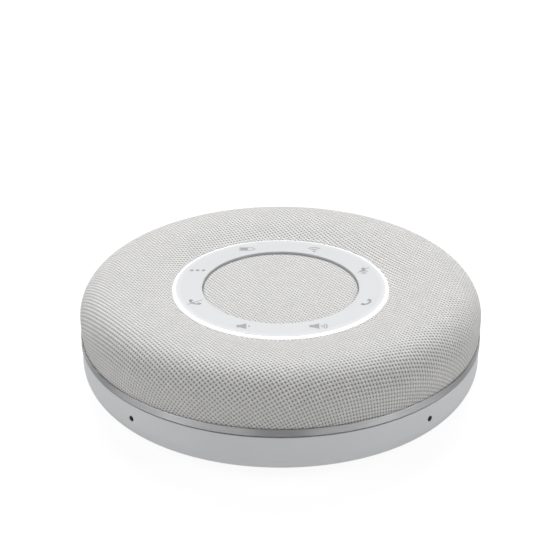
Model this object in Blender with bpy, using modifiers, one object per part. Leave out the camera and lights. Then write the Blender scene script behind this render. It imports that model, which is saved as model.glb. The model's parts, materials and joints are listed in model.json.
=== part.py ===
"""Conference speakerphone: a round puck with a fabric dome, a touch ring and a lit edge.

Units are metres, +Z is up, and the origin is on the floor under the centre of the puck.
The side away from the user, with the socket and the power button, faces +Y.
"""

import math

import bmesh
import bpy
from mathutils import Matrix, Vector

# Outer form.
OUTER_RADIUS = 0.0660
CREST_HEIGHT = 0.0340
CREST_RADIUS = 0.0546
WAIST_HEIGHT = 0.0235
DISH_EDGE_RADIUS = 0.0364
DISH_DEPTH = 0.0029
SKIRT_TUCK = 0.00105
SKIRT_TUCK_DROP = 0.0068
SKIRT_END = 0.01525

# Thicknesses and clearances.
FABRIC = 0.0008
FRAME_WALL = 0.0016
GAP = 0.0003

# Centre of the top.
RING_TOP = 0.0315
RING_INNER = 0.0257
RING_OUTER = 0.03435
LIGHT_INNER = 0.0345
LIGHT_OUTER = 0.0356
DISC_RADIUS = 0.02515
DISC_TOP = 0.0306
SEAT_TOP = 0.0282
SEAT_BOTTOM = 0.0266
SEAT_HOLE = 0.0242

# Base.
BASE_TOP = 0.01405
BASE_BOTTOM = 0.0012
BASE_WALL_INNER = 0.0634
BASE_CURVE_CENTRE = (0.0568, 0.0080)
BASE_CURVE_RADIUS = 0.0089
COVER_RADIUS = 0.0582
COVER_TOP = 0.0033
FOOT_INNER = 0.0425
FOOT_OUTER = 0.0500

# Boards, socket and button.
BOARD_BOTTOM = 0.0050
BOARD_TOP = 0.0062
BOARD_RADIUS = 0.0440
SOCKET_HEIGHT = 0.0079
BUTTON_HEIGHT = 0.0085
BUTTON_ANGLE = math.radians(22)

# Speaker.
BOX_RADIUS = 0.0270
BOX_HALF_STRAIGHT = 0.0300
BOX_BOTTOM = 0.0075
BOX_TOP = 0.0220
BAFFLE_HOLE = 0.0216
RADIATOR_OFFSET = 0.0410
RADIATOR_HOLE = 0.0108
FLANGE_BOTTOM = 0.0228
FLANGE_TOP = 0.0238

# Microphones and screws.
MIC_ANGLES = [math.radians(a) for a in (225, 315, 45, 135)]
MIC_HEIGHT = 0.0089
MIC_HOLE_RADIUS = 0.00085
BOSS_RADIUS = 0.0030
BOSS_CIRCLE = 0.0530
BOSS_ANGLES = [math.radians(a) for a in (225, 315, 45, 135)]
DRIVER_SCREW_CIRCLE = 0.0246
BOARD_SCREW_PLACES = [(-0.024, -0.032), (0.024, -0.032), (0.030, 0.020)]

# Battery cell, lying along X.
CELL_RADIUS = 0.0092
CELL_HALF_LENGTH = 0.0325
CELL_Y = 0.0400
CELL_HEIGHT = 0.0172

LARGE_STEPS = 40
FRAME_STEPS = 32
SMALL_STEPS = 16
DRIVER_STEPS = 16
SCREW_STEPS = 8


# ---------------------------------------------------------------- scene and materials

def clear_scene():
    for obj in list(bpy.data.objects):
        bpy.data.objects.remove(obj, do_unlink=True)


def new_collection(name):
    collection = bpy.data.collections.new(name)
    bpy.context.scene.collection.children.link(collection)
    return collection


clear_scene()
PARTS = new_collection("conference_speakerphone")
CUTTERS = new_collection("cutters")


def material(name, colour, roughness, metallic=0.0):
    found = bpy.data.materials.get(name)
    if found:
        return found
    made = bpy.data.materials.new(name)
    made.use_nodes = True
    shader = made.node_tree.nodes["Principled BSDF"]
    shader.inputs["Base Color"].default_value = (*colour, 1.0)
    shader.inputs["Roughness"].default_value = roughness
    shader.inputs["Metallic"].default_value = metallic
    return made


def fabric_material():
    return material("fabric", (0.66, 0.64, 0.63), 0.95)


def paint_material():
    return material("base_paint", (0.44, 0.45, 0.46), 0.5)


def black_plastic():
    return material("black_plastic", (0.03, 0.03, 0.032), 0.55)


def steel():
    return material("steel", (0.55, 0.55, 0.56), 0.3, 1.0)


def circuit_green():
    return material("circuit_board", (0.02, 0.12, 0.06), 0.5)


def rubber():
    return material("rubber", (0.05, 0.05, 0.052), 0.8)


# ---------------------------------------------------------------- shape helpers

def add_object(name, mesh, finish=None, collection=None):
    obj = bpy.data.objects.new(name, mesh)
    (collection or PARTS).objects.link(obj)
    if finish:
        mesh.materials.append(finish)
    return obj


def solid_from(name, bm, finish=None, collection=None):
    """Turn a bmesh into a mesh object."""
    mesh = bpy.data.meshes.new(name)
    bm.to_mesh(mesh)
    bm.free()
    return add_object(name, mesh, finish, collection)


def shade_round(obj, angle=35):
    obj.data.shade_smooth()
    obj.data.set_sharp_from_angle(angle=math.radians(angle))


def clockwise(points):
    """Order an outline so that its outer side runs from top to bottom."""
    pairs = zip(points, points[1:] + points[:1])
    area = sum(a[0] * b[1] - b[0] * a[1] for a, b in pairs)
    return points if area < 0 else points[::-1]


def turned(name, outline, finish, steps=LARGE_STEPS):
    """Sweep an outline of (radius, height) points once around Z.

    An outline that starts and ends on the axis makes a solid of revolution without a bore.
    """
    points = clockwise(outline)
    on_axis = [i for i, p in enumerate(points) if p[0] == 0.0]
    if on_axis:
        start = next(i for i in on_axis if (i - 1) % len(points) in on_axis)
        points = points[start:] + points[:start]
    bm = bmesh.new()
    verts = [bm.verts.new((r, 0.0, z)) for r, z in points]
    ends = verts[1:] if on_axis else verts[1:] + verts[:1]
    for first, second in zip(verts, ends):
        bm.edges.new((first, second))
    obj = solid_from(name, bm, finish)
    screw = obj.modifiers.new("Turn", "SCREW")
    screw.axis = "Z"
    screw.angle = math.tau
    screw.steps = steps
    screw.render_steps = steps
    screw.use_merge_vertices = True
    screw.merge_threshold = 0.00001
    screw.use_smooth_shade = True
    return obj


def add_block(bm, low, high, angle=0.0):
    """A box between two corners, then turned about Z by an angle."""
    low, high = Vector(low), Vector(high)
    size = high - low
    matrix = Matrix.Rotation(angle, 4, "Z") @ Matrix.LocRotScale((low + high) / 2, None, size)
    bmesh.ops.create_cube(bm, size=1.0, matrix=matrix)


def add_rod(bm, radius, low, high, x=0.0, y=0.0, steps=SMALL_STEPS):
    """An upright cylinder between two heights."""
    matrix = Matrix.Translation((x, y, (low + high) / 2))
    bmesh.ops.create_cone(
        bm, cap_ends=True, segments=steps, radius1=radius, radius2=radius,
        depth=high - low, matrix=matrix)


def add_stadium(bm, radius, half_straight, low, high, steps=32):
    """An upright prism with two half-round ends, long in X."""
    made = bmesh.ops.create_cone(
        bm, cap_ends=True, segments=steps, radius1=radius, radius2=radius, depth=high - low,
        matrix=Matrix.Translation((0, 0, (low + high) / 2)) @ Matrix.Rotation(math.pi / steps, 4, "Z"))
    for vert in made["verts"]:
        vert.co.x += math.copysign(half_straight, vert.co.x)


def block(name, low, high, finish):
    bm = bmesh.new()
    add_block(bm, low, high)
    return solid_from(name, bm, finish)


def bevel(obj, width, segments=2):
    modifier = obj.modifiers.new("Edges", "BEVEL")
    modifier.width = width
    modifier.segments = segments
    modifier.limit_method = "ANGLE"
    return modifier


def boolean(obj, cutter, operation="DIFFERENCE"):
    cutter.hide_render = True
    cutter.display_type = "WIRE"
    modifier = obj.modifiers.new(operation.title(), "BOOLEAN")
    modifier.operation = operation
    modifier.solver = "EXACT"
    modifier.object = cutter
    return modifier


def cutter_from(name, bm):
    return solid_from(name, bm, None, CUTTERS)


def around(radius, angle):
    return radius * math.cos(angle), radius * math.sin(angle)


def rod_cutter(name, radius, low, high, places, steps=10):
    bm = bmesh.new()
    for x, y in places:
        add_rod(bm, radius, low, high, x, y, steps)
    return cutter_from(name, bm)


def wire(name, points, radius, finish):
    """A round wire along hand-set points."""
    curve = bpy.data.curves.new(name, "CURVE")
    curve.dimensions = "3D"
    spline = curve.splines.new("POLY")
    spline.points.add(len(points) - 1)
    for target, point in zip(spline.points, points):
        target.co = (*point, 1.0)
    curve.bevel_depth = radius
    curve.bevel_resolution = 2
    curve.use_fill_caps = True
    curve.materials.append(finish)
    obj = bpy.data.objects.new(name, curve)
    PARTS.objects.link(obj)
    return obj


# ---------------------------------------------------------------- the dome's curve

def dome_point(t):
    """The outer curve from the inner dish edge (t=0), over the crest (1) and waist (2), to the hem (3)."""
    if t <= 1.0:
        radius = DISH_EDGE_RADIUS + (CREST_RADIUS - DISH_EDGE_RADIUS) * t
        return radius, CREST_HEIGHT - DISH_DEPTH * (1.0 - t) ** 2
    if t <= 2.0:
        angle = math.pi / 2 * (2.0 - t)
        radius = CREST_RADIUS + (OUTER_RADIUS - CREST_RADIUS) * math.cos(angle)
        return radius, WAIST_HEIGHT + (CREST_HEIGHT - WAIST_HEIGHT) * math.sin(angle)
    height = WAIST_HEIGHT + (SKIRT_END - WAIST_HEIGHT) * (t - 2.0)
    return OUTER_RADIUS - SKIRT_TUCK * ((WAIST_HEIGHT - height) / SKIRT_TUCK_DROP) ** 2, height


def dome_curve(depth, start, per_span):
    """Points of the dome's curve moved inwards by a depth, from start to the hem."""
    stops = [i / n + span for span, n in enumerate(per_span) for i in range(n)] + [3.0]
    stops = [start] + [t for t in stops if t > start + 0.02]
    points = []
    for t in stops:
        before, after = dome_point(max(t - 0.01, 0.0)), dome_point(min(t + 0.01, 3.0))
        dr, dz = after[0] - before[0], after[1] - before[1]
        length = math.hypot(dr, dz)
        radius, height = dome_point(t)
        points.append((radius + depth * dz / length, height - depth * dr / length))
    points[-1] = (points[-1][0], SKIRT_END)
    return points


# ---------------------------------------------------------------- outer pieces

def make_fabric_cover():
    leg_outer, leg_bottom = 0.03595, 0.0299
    fine = (2, 5, 2)
    outside = [(leg_outer, leg_bottom), (leg_outer, 0.0307), (0.0361, 0.0310)] + dome_curve(0.0, 0.03, fine)
    inside = [(leg_outer + FABRIC, leg_bottom), (leg_outer + FABRIC, 0.0303)] + dome_curve(FABRIC, 0.08, fine)
    turned("fabric_cover", outside + inside[::-1], fabric_material())


def make_grille_frame():
    """The stiff dome under the fabric, with sound slots, a seat for the top pieces and four bosses."""
    seat_edge = 0.03705
    rib_inner, rib_outer, rib_bottom = 0.0268, 0.0277, 0.0223
    coarse = (2, 4, 2)
    outside = [(seat_edge, SEAT_TOP), (seat_edge, 0.0301)] + dome_curve(FABRIC + GAP, 0.08, coarse)
    inside = dome_curve(FABRIC + GAP + FRAME_WALL, 0.18, coarse)
    inside = [(0.0386, SEAT_BOTTOM)] + inside
    under_seat = [
        (rib_outer, SEAT_BOTTOM), (rib_outer, rib_bottom), (rib_inner, rib_bottom),
        (rib_inner, SEAT_BOTTOM), (SEAT_HOLE, SEAT_BOTTOM), (SEAT_HOLE, SEAT_TOP)]
    frame = turned("grille_frame", outside + inside[::-1] + under_seat,
                   material("frame_plastic", (0.12, 0.12, 0.125), 0.6), FRAME_STEPS)

    slots = bmesh.new()
    slot_count = 12
    for i in range(slot_count):
        angle = math.tau * (i + 0.5) / slot_count
        add_block(slots, (0.0410, -0.0020, 0.0275), (0.0490, 0.0020, 0.0345), angle)
        add_block(slots, (0.0590, -0.0020, 0.0190), (0.0680, 0.0020, 0.0262), angle)
    boolean(frame, cutter_from("frame_slots", slots))

    boss_bottom, boss_top = COVER_TOP + 0.0004, 0.0322
    places = [around(BOSS_CIRCLE, a) for a in BOSS_ANGLES]
    boolean(frame, rod_cutter("frame_bosses", BOSS_RADIUS, boss_bottom, boss_top, places), "UNION")
    boolean(frame, rod_cutter("boss_holes", 0.0015, boss_bottom - 0.001, 0.0150, places))

    ribbon_slot = bmesh.new()
    add_block(ribbon_slot, (-0.0048, -0.0325, 0.0260), (0.0048, -0.0298, 0.0290))
    boolean(frame, cutter_from("ribbon_slot", ribbon_slot))


def make_centre():
    """The recessed disc: a perforated plate with its own fabric."""
    turned("fabric_disc", [
        (0.0, DISC_TOP), (0.0246, DISC_TOP), (0.0250, DISC_TOP - 0.00012),
        (DISC_RADIUS, DISC_TOP - 0.0004), (DISC_RADIUS, DISC_TOP - FABRIC), (0.0, DISC_TOP - FABRIC)],
        fabric_material())
    plate_bottom, plate_top = SEAT_TOP + GAP, DISC_TOP - FABRIC - GAP
    bm = bmesh.new()
    add_rod(bm, 0.0252, plate_bottom, plate_top, steps=LARGE_STEPS)
    plate = solid_from("center_grille", bm, black_plastic())
    places = [(0.0, 0.0)]
    for ring in range(1, 4):
        count, radius = 4 * ring, 0.0068 * ring
        places += [around(radius, math.tau * i / count + 0.13 * ring) for i in range(count)]
    boolean(plate, rod_cutter("sound_holes", 0.0024, plate_bottom - 0.001, plate_top + 0.001, places, 6))


def make_touch_ring():
    """The glossy touch ring, its lit edge and the annular board under both."""
    skirt_outer, skirt_bottom, plate_bottom = 0.0263, 0.0285, 0.0302
    soft = 0.0002
    turned("touch_ring", [
        (RING_INNER, skirt_bottom), (RING_INNER, RING_TOP - soft), (RING_INNER + soft, RING_TOP),
        (RING_OUTER - soft, RING_TOP), (RING_OUTER, RING_TOP - soft), (RING_OUTER, plate_bottom),
        (skirt_outer, plate_bottom), (skirt_outer, skirt_bottom)],
        material("ring_white", (0.8, 0.8, 0.82), 0.3))
    light_bottom = 0.0299
    turned("light_ring", [
        (LIGHT_INNER, light_bottom), (LIGHT_INNER, RING_TOP - 0.0001),
        (LIGHT_OUTER - 0.0002, RING_TOP - 0.0005), (LIGHT_OUTER, RING_TOP - 0.0007),
        (LIGHT_OUTER, light_bottom)],
        material("light_diffuser", (0.95, 0.95, 0.95), 0.4))

    board_bottom, board_top = 0.0285, 0.0293
    board = turned("touch_board", [
        (0.0266, board_bottom), (0.0266, board_top), (0.0355, board_top), (0.0355, board_bottom)],
        circuit_green())
    lamps = bmesh.new()
    lamp_count = 12
    for i in range(lamp_count):
        add_block(lamps, (0.0344, -0.0009, board_top - 0.0002), (0.0352, 0.0009, board_top + 0.0003),
                  math.tau * (i + 0.5) / lamp_count)
    boolean(board, cutter_from("edge_lamps", lamps), "UNION")


def make_trim_ring():
    """The dark metal hoop that holds the fabric's hem."""
    lip_inner, lip_top, foot_top, foot_bottom, foot_inner = 0.06535, 0.0170, 0.01495, 0.01435, 0.0620
    soft = 0.0003
    turned("trim_ring", [
        (lip_inner, foot_top), (lip_inner, lip_top), (OUTER_RADIUS - soft, lip_top),
        (OUTER_RADIUS, lip_top - soft), (OUTER_RADIUS, foot_bottom + soft),
        (OUTER_RADIUS - soft, foot_bottom),
        (foot_inner, foot_bottom), (foot_inner, foot_top)],
        material("trim_metal", (0.28, 0.28, 0.29), 0.35, 1.0))


def make_base_housing():
    """The painted band: a ring wall that curves in to its foot, and an inner ledge over the cover."""
    ledge_top, ledge_bottom, ledge_inner, mouth = 0.0046, 0.0036, 0.0569, COVER_RADIUS + GAP
    curve_r, curve_z = BASE_CURVE_CENTRE
    wall_outer = curve_r + BASE_CURVE_RADIUS
    sweep = math.asin((curve_z - BASE_BOTTOM) / BASE_CURVE_RADIUS)
    soft, curve_steps = 0.0004, 5
    curve = []
    for i in range(curve_steps + 1):
        angle = sweep * i / curve_steps
        curve.append((curve_r + BASE_CURVE_RADIUS * math.cos(angle),
                      curve_z - BASE_CURVE_RADIUS * math.sin(angle)))
    top_edge = [(BASE_WALL_INNER, BASE_TOP), (wall_outer - soft, BASE_TOP), (wall_outer, BASE_TOP - soft)]
    outside = top_edge + curve
    inside = [(mouth, BASE_BOTTOM), (mouth, ledge_bottom), (ledge_inner, ledge_bottom),
              (ledge_inner, ledge_top), (BASE_WALL_INNER, ledge_top)]
    housing = turned("base_housing", outside + inside, paint_material())

    cuts = bmesh.new()
    add_block(cuts, (-0.0064, 0.0600, SOCKET_HEIGHT - 0.0032), (0.0064, 0.0670, SOCKET_HEIGHT + 0.0032))
    add_radial_rod(cuts, 0.0031, 0.0600, 0.0670, math.pi / 2 - BUTTON_ANGLE, BUTTON_HEIGHT)
    for angle in MIC_ANGLES:
        add_radial_rod(cuts, MIC_HOLE_RADIUS, 0.0600, 0.0670, angle, MIC_HEIGHT, 10)
    boolean(housing, cutter_from("base_openings", cuts))


def add_radial_rod(bm, radius, start, end, angle, height, steps=16):
    """A cylinder that points away from the centre, between two distances from it."""
    along = Matrix.Rotation(angle, 4, "Z") @ Matrix.Translation(((start + end) / 2, 0, height))
    bmesh.ops.create_cone(
        bm, cap_ends=True, segments=steps, radius1=radius, radius2=radius, depth=end - start,
        matrix=along @ Matrix.Rotation(math.pi / 2, 4, "Y"))


def make_bottom():
    """The cover that closes the base from below, with its foot ring and a blank label."""
    label_radius, label_depth, groove_top = 0.0183, 0.0005, 0.0021
    cover = turned("bottom_cover", [
        (0.0, COVER_TOP), (COVER_RADIUS, COVER_TOP), (COVER_RADIUS, BASE_BOTTOM),
        (FOOT_OUTER + GAP, BASE_BOTTOM), (FOOT_OUTER + GAP, groove_top),
        (FOOT_INNER - GAP, groove_top), (FOOT_INNER - GAP, BASE_BOTTOM),
        (label_radius, BASE_BOTTOM), (label_radius, BASE_BOTTOM + label_depth),
        (0.0, BASE_BOTTOM + label_depth)], black_plastic())
    standoffs = rod_cutter("standoffs", 0.0026, COVER_TOP - 0.0005, BOARD_BOTTOM - GAP, BOARD_SCREW_PLACES)
    boolean(cover, standoffs, "UNION")
    holes = bmesh.new()
    for x, y in [around(BOSS_CIRCLE, a) for a in BOSS_ANGLES]:
        add_rod(holes, 0.0015, 0.0, COVER_TOP + 0.001, x, y, 12)
    for x, y in BOARD_SCREW_PLACES:
        add_rod(holes, 0.0013, COVER_TOP - 0.0010, BOARD_BOTTOM + 0.001, x, y, 8)
    boolean(cover, cutter_from("cover_holes", holes))
    places = [around(BOSS_CIRCLE, a) for a in BOSS_ANGLES]
    boolean(cover, rod_cutter("counterbores", 0.0024, 0.0, BASE_BOTTOM + 0.0010, places, 16))

    turned("foot_ring", [
        (FOOT_INNER, groove_top - GAP), (FOOT_INNER, 0.0003), (FOOT_INNER + 0.0003, 0.0),
        (FOOT_OUTER - 0.0003, 0.0), (FOOT_OUTER, 0.0003), (FOOT_OUTER, groove_top - GAP)], rubber())
    label_top = BASE_BOTTOM + label_depth - 0.00015
    turned("rating_label", [
        (0.0, label_top), (label_radius - GAP, label_top), (label_radius - GAP, label_top - 0.0002),
        (0.0, label_top - 0.0002)], material("label_film", (0.5, 0.5, 0.51), 0.5))


def make_screw(name, place, under_head, length, shank, head_radius, head_height, head_up):
    """A pan-head screw, head up or head down."""
    rise = 1 if head_up else -1
    outline = [
        (0.0, head_height), (head_radius * 0.8, head_height), (head_radius, head_height * 0.5),
        (head_radius, 0.0), (shank, 0.0), (shank, -length), (0.0, -length)]
    screw = turned(name, [(r, rise * z) for r, z in outline], steel(), SCREW_STEPS)
    screw.location = (place[0], place[1], under_head)
    return screw


def cut_cross(screw, head_radius, depth):
    """Sink a cross recess into a head that faces down."""
    arm, half_width = head_radius * 0.55, head_radius * 0.12
    bm = bmesh.new()
    add_block(bm, (-arm, -half_width, -0.002), (arm, half_width, -depth))
    bar = cutter_from(screw.name + "_bar", bm)
    bar.location = screw.location
    other = bpy.data.objects.new(screw.name + "_other_bar", bar.data)
    CUTTERS.objects.link(other)
    other.location = screw.location
    other.rotation_euler.z = math.pi / 2
    boolean(screw, bar)
    boolean(screw, other)


def make_screws():
    for i, angle in enumerate(BOSS_ANGLES):
        head_radius, head_height = 0.0021, 0.0007
        screw = make_screw(f"base_screw_{i + 1}", around(BOSS_CIRCLE, angle), BASE_BOTTOM + 0.0008,
                           0.0110, 0.0012, head_radius, head_height, False)
        cut_cross(screw, head_radius, head_height / 2)
    for i in range(4):
        angle = math.pi / 4 + math.pi / 2 * i
        make_screw(f"driver_screw_{i + 1}", around(DRIVER_SCREW_CIRCLE, angle), FLANGE_TOP + 0.0002,
                   0.0042, 0.0009, 0.0017, 0.0010, True)
    for i, place in enumerate(BOARD_SCREW_PLACES):
        make_screw(f"board_screw_{i + 1}", place, BOARD_TOP + 0.00015, 0.0036, 0.0010, 0.0018, 0.0009,
                   True)


# ---------------------------------------------------------------- electronics

def make_main_board():
    """The round main board with a tab to the socket and the button switch."""
    bm = bmesh.new()
    add_rod(bm, BOARD_RADIUS, BOARD_BOTTOM, BOARD_TOP, steps=LARGE_STEPS)
    board = solid_from("main_board", bm, circuit_green())
    tab = bmesh.new()
    add_block(tab, (-0.0090, 0.0360, BOARD_BOTTOM), (0.0262, 0.0545, BOARD_TOP))
    boolean(board, cutter_from("rear_tab", tab), "UNION")
    nose = bmesh.new()
    add_block(nose, (-0.0090, 0.0520, BOARD_BOTTOM), (0.0090, 0.0580, BOARD_TOP))
    boolean(board, cutter_from("rear_nose", nose), "UNION")
    fittings = bmesh.new()
    add_block(fittings, (-0.0055, -0.0385, BOARD_TOP - 0.0003), (0.0055, -0.0348, BOARD_TOP + 0.0016))
    add_block(fittings, (0.0150, -0.0375, BOARD_TOP - 0.0003), (0.0200, -0.0340, BOARD_TOP + 0.0030))
    boolean(board, cutter_from("board_connectors", fittings), "UNION")
    holes = rod_cutter("board_holes", 0.0013, BOARD_BOTTOM - 0.001, BOARD_TOP + 0.001, BOARD_SCREW_PLACES)
    boolean(board, holes)


def make_shield_can():
    can = block("shield_can", (-0.0195, -0.0400, BOARD_TOP + 0.00015), (-0.0075, -0.0292, BOARD_TOP + 0.0026),
                steel())
    bevel(can, 0.0003)


def make_socket():
    """A metal-shelled data and charging socket with a centre tongue, open to the rear."""
    low, high = BOARD_TOP + 0.0001, BOARD_TOP + 0.0033
    middle = (low + high) / 2
    front, mouth = 0.0512, 0.0585
    half_width, wall = 0.00447, 0.0003
    shell = block("usb_socket", (-half_width, front, low), (half_width, mouth, high), steel())
    bevel(shell, 0.0009, 3)
    hollow = bmesh.new()
    add_block(hollow, (-half_width + wall, front + 0.0010, low + wall),
              (half_width - wall, mouth + 0.0010, high - wall))
    hollow_cutter = cutter_from("socket_hollow", hollow)
    bevel(hollow_cutter, 0.0007, 3)
    boolean(shell, hollow_cutter)
    tongue = bmesh.new()
    add_block(tongue, (-0.0033, front + 0.0005, middle - 0.00035), (0.0033, mouth - 0.0010, middle + 0.00035))
    boolean(shell, cutter_from("socket_tongue", tongue), "UNION")


def make_power_button():
    """The rear push button, which slides towards the centre, and the switch behind it."""
    face, shoulder, shoulder_inner, stem_end = 0.06590, 0.0630, 0.0622, 0.0597
    button_origin = 0.0640
    outline = [
        (0.0, face), (0.0023, face), (0.0028, face - 0.0004), (0.0028, shoulder), (0.0036, shoulder),
        (0.0036, shoulder_inner), (0.0012, shoulder_inner), (0.0012, stem_end), (0.0, stem_end)]
    local = [(radius, along - button_origin) for radius, along in outline]
    button = turned("power_button", local, material("button_grey", (0.36, 0.37, 0.38), 0.5), SMALL_STEPS)
    direction = math.pi / 2 - BUTTON_ANGLE
    x, y = around(button_origin, direction)
    button.location = (x, y, BUTTON_HEIGHT)
    button.rotation_euler = (0.0, math.pi / 2, direction)

    bm = bmesh.new()
    add_block(bm, (0.0562, -0.0030, BOARD_TOP + 0.0001), (0.0589, 0.0030, BUTTON_HEIGHT + 0.0018), direction)
    solid_from("power_switch", bm, black_plastic())


def make_microphones():
    for i, angle in enumerate(MIC_ANGLES):
        bm = bmesh.new()
        add_block(bm, (0.0595, -0.0018, MIC_HEIGHT - 0.0016), (0.0612, 0.0018, MIC_HEIGHT + 0.0016), angle)
        solid_from(f"mic_{i + 1}", bm, steel())
        bm = bmesh.new()
        add_block(bm, (0.0615, -0.0030, MIC_HEIGHT - 0.0026), (0.06305, 0.0030, MIC_HEIGHT + 0.0026), angle)
        gasket = solid_from(f"mic_gasket_{i + 1}", bm, rubber())
        bore = bmesh.new()
        add_radial_rod(bore, MIC_HOLE_RADIUS, 0.0610, 0.0635, angle, MIC_HEIGHT, 10)
        boolean(gasket, cutter_from(f"mic_bore_{i + 1}", bore))
    make_microphone_flex()


def make_microphone_flex():
    """A thin circuit strip that runs behind the four microphones, round the front of the base."""
    radius, start, sweep = 0.0591, math.radians(133), math.radians(274)
    bm = bmesh.new()
    top = bm.verts.new((radius, 0.0, MIC_HEIGHT + 0.0014))
    bottom = bm.verts.new((radius, 0.0, MIC_HEIGHT - 0.0014))
    bm.edges.new((top, bottom))
    flex = solid_from("mic_flex", bm, material("flex_amber", (0.55, 0.22, 0.03), 0.45))
    flex.rotation_euler.z = start
    screw = flex.modifiers.new("Turn", "SCREW")
    screw.angle = sweep
    screw.steps = 36
    screw.render_steps = 36
    screw.merge_threshold = 0.00001
    strip = flex.modifiers.new("Thickness", "SOLIDIFY")
    strip.thickness = 0.0002
    strip.offset = 0.0


def make_battery():
    soft = 0.0006
    cell = turned("battery_cell", [
        (0.0, CELL_HALF_LENGTH), (CELL_RADIUS - soft, CELL_HALF_LENGTH),
        (CELL_RADIUS, CELL_HALF_LENGTH - soft),
        (CELL_RADIUS, -CELL_HALF_LENGTH + soft), (CELL_RADIUS - soft, -CELL_HALF_LENGTH),
        (0.0, -CELL_HALF_LENGTH)], material("cell_sleeve", (0.05, 0.16, 0.4), 0.35), SMALL_STEPS)
    cell.location = (0.0, CELL_Y, CELL_HEIGHT)
    cell.rotation_euler.y = math.pi / 2

    wall_y, wall_x, top = 0.0101, 0.0339, 0.0136
    cradle = block("battery_cradle", (-wall_x, CELL_Y - wall_y, BOARD_TOP + GAP),
                   (wall_x, CELL_Y + wall_y, top), black_plastic())
    bm = bmesh.new()
    bmesh.ops.create_cone(
        bm, cap_ends=True, segments=SMALL_STEPS, radius1=CELL_RADIUS + GAP, radius2=CELL_RADIUS + GAP,
        depth=2 * (CELL_HALF_LENGTH + GAP))
    trough = cutter_from("cell_trough", bm)
    trough.location = cell.location
    trough.rotation_euler.y = math.pi / 2
    boolean(cradle, trough)


def make_touch_ribbon():
    """The flat cable that drops from the touch board to the main board's connector."""
    width, thickness = 0.0080, 0.00025
    path = [(-0.0312, 0.0282), (-0.0312, 0.0250), (-0.0302, 0.0210), (-0.0292, 0.0160), (-0.0290, 0.0120),
            (-0.0300, 0.0090), (-0.0318, 0.0074), (-0.0345, 0.0070)]
    bm = bmesh.new()
    sides = [[bm.verts.new((x, y, z)) for y, z in path] for x in (-width / 2, width / 2)]
    for left, right in zip(zip(sides[0], sides[0][1:]), zip(sides[1], sides[1][1:])):
        bm.faces.new((left[0], right[0], right[1], left[1]))
    ribbon = solid_from("touch_ribbon", bm, material("ribbon_white", (0.7, 0.7, 0.7), 0.5))
    strip = ribbon.modifiers.new("Thickness", "SOLIDIFY")
    strip.thickness = thickness
    strip.offset = 0.0


def make_leads():
    red = material("lead_red", (0.5, 0.02, 0.02), 0.4)
    black = material("lead_black", (0.02, 0.02, 0.02), 0.4)
    lead_radius, pitch = 0.0005, 0.0024
    for shift, colour, finish in ((0.0, "red", red), (pitch, "black", black)):
        x = -0.0240 + shift
        wire(f"battery_lead_{colour}", [
            (x, 0.0300, 0.0172), (x, 0.0290, 0.0168), (x, 0.0285, 0.0155), (x, 0.0285, 0.0110),
            (x, 0.0284, 0.0080), (x, 0.0282, 0.0065)], lead_radius, finish)
        x = 0.0074 + shift
        wire(f"driver_lead_{colour}", [
            (x, -0.0205, 0.0172), (x, -0.0225, 0.0165), (x, -0.0245, 0.0145), (x, -0.0262, 0.0132),
            (x, -0.0283, 0.0128), (x, -0.0298, 0.0118), (x, -0.0306, 0.0098), (x, -0.0308, 0.0065)],
            lead_radius, finish)


# ---------------------------------------------------------------- speaker

def make_enclosure():
    """The sealed speaker box, with holes for the driver, both radiators and the driver leads."""
    wall = 0.0015
    bm = bmesh.new()
    add_stadium(bm, BOX_RADIUS, BOX_HALF_STRAIGHT, BOX_BOTTOM, BOX_TOP)
    box = solid_from("speaker_enclosure", bm, material("enclosure_plastic", (0.06, 0.06, 0.065), 0.6))
    feet = bmesh.new()
    for side in (-1, 1):
        inner, outer = side * 0.0490, side * 0.0550
        add_block(feet, (min(inner, outer), -0.0070, COVER_TOP + GAP),
                  (max(inner, outer), 0.0070, BOX_BOTTOM + 0.0008))
    boolean(box, cutter_from("enclosure_feet", feet), "UNION")
    room = bmesh.new()
    add_stadium(room, BOX_RADIUS - wall, BOX_HALF_STRAIGHT, BOX_BOTTOM + 0.0012, BOX_TOP - wall)
    boolean(box, cutter_from("enclosure_room", room))
    holes = bmesh.new()
    add_rod(holes, BAFFLE_HOLE, BOX_TOP - 0.0030, BOX_TOP + 0.001, steps=32)
    for side in (-1, 1):
        add_rod(holes, RADIATOR_HOLE, BOX_TOP - 0.0030, BOX_TOP + 0.001, side * RADIATOR_OFFSET)
    for i in range(4):
        x, y = around(DRIVER_SCREW_CIRCLE, math.pi / 4 + math.pi / 2 * i)
        add_rod(holes, 0.0009 + GAP, BOX_TOP - 0.0030, BOX_TOP + 0.001, x, y, 12)
    boolean(box, cutter_from("baffle_holes", holes))
    passage = bmesh.new()
    add_block(passage, (0.0063, -0.0290, 0.0115), (0.0109, -0.0240, 0.0146))
    boolean(box, cutter_from("lead_passage", passage))


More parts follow.
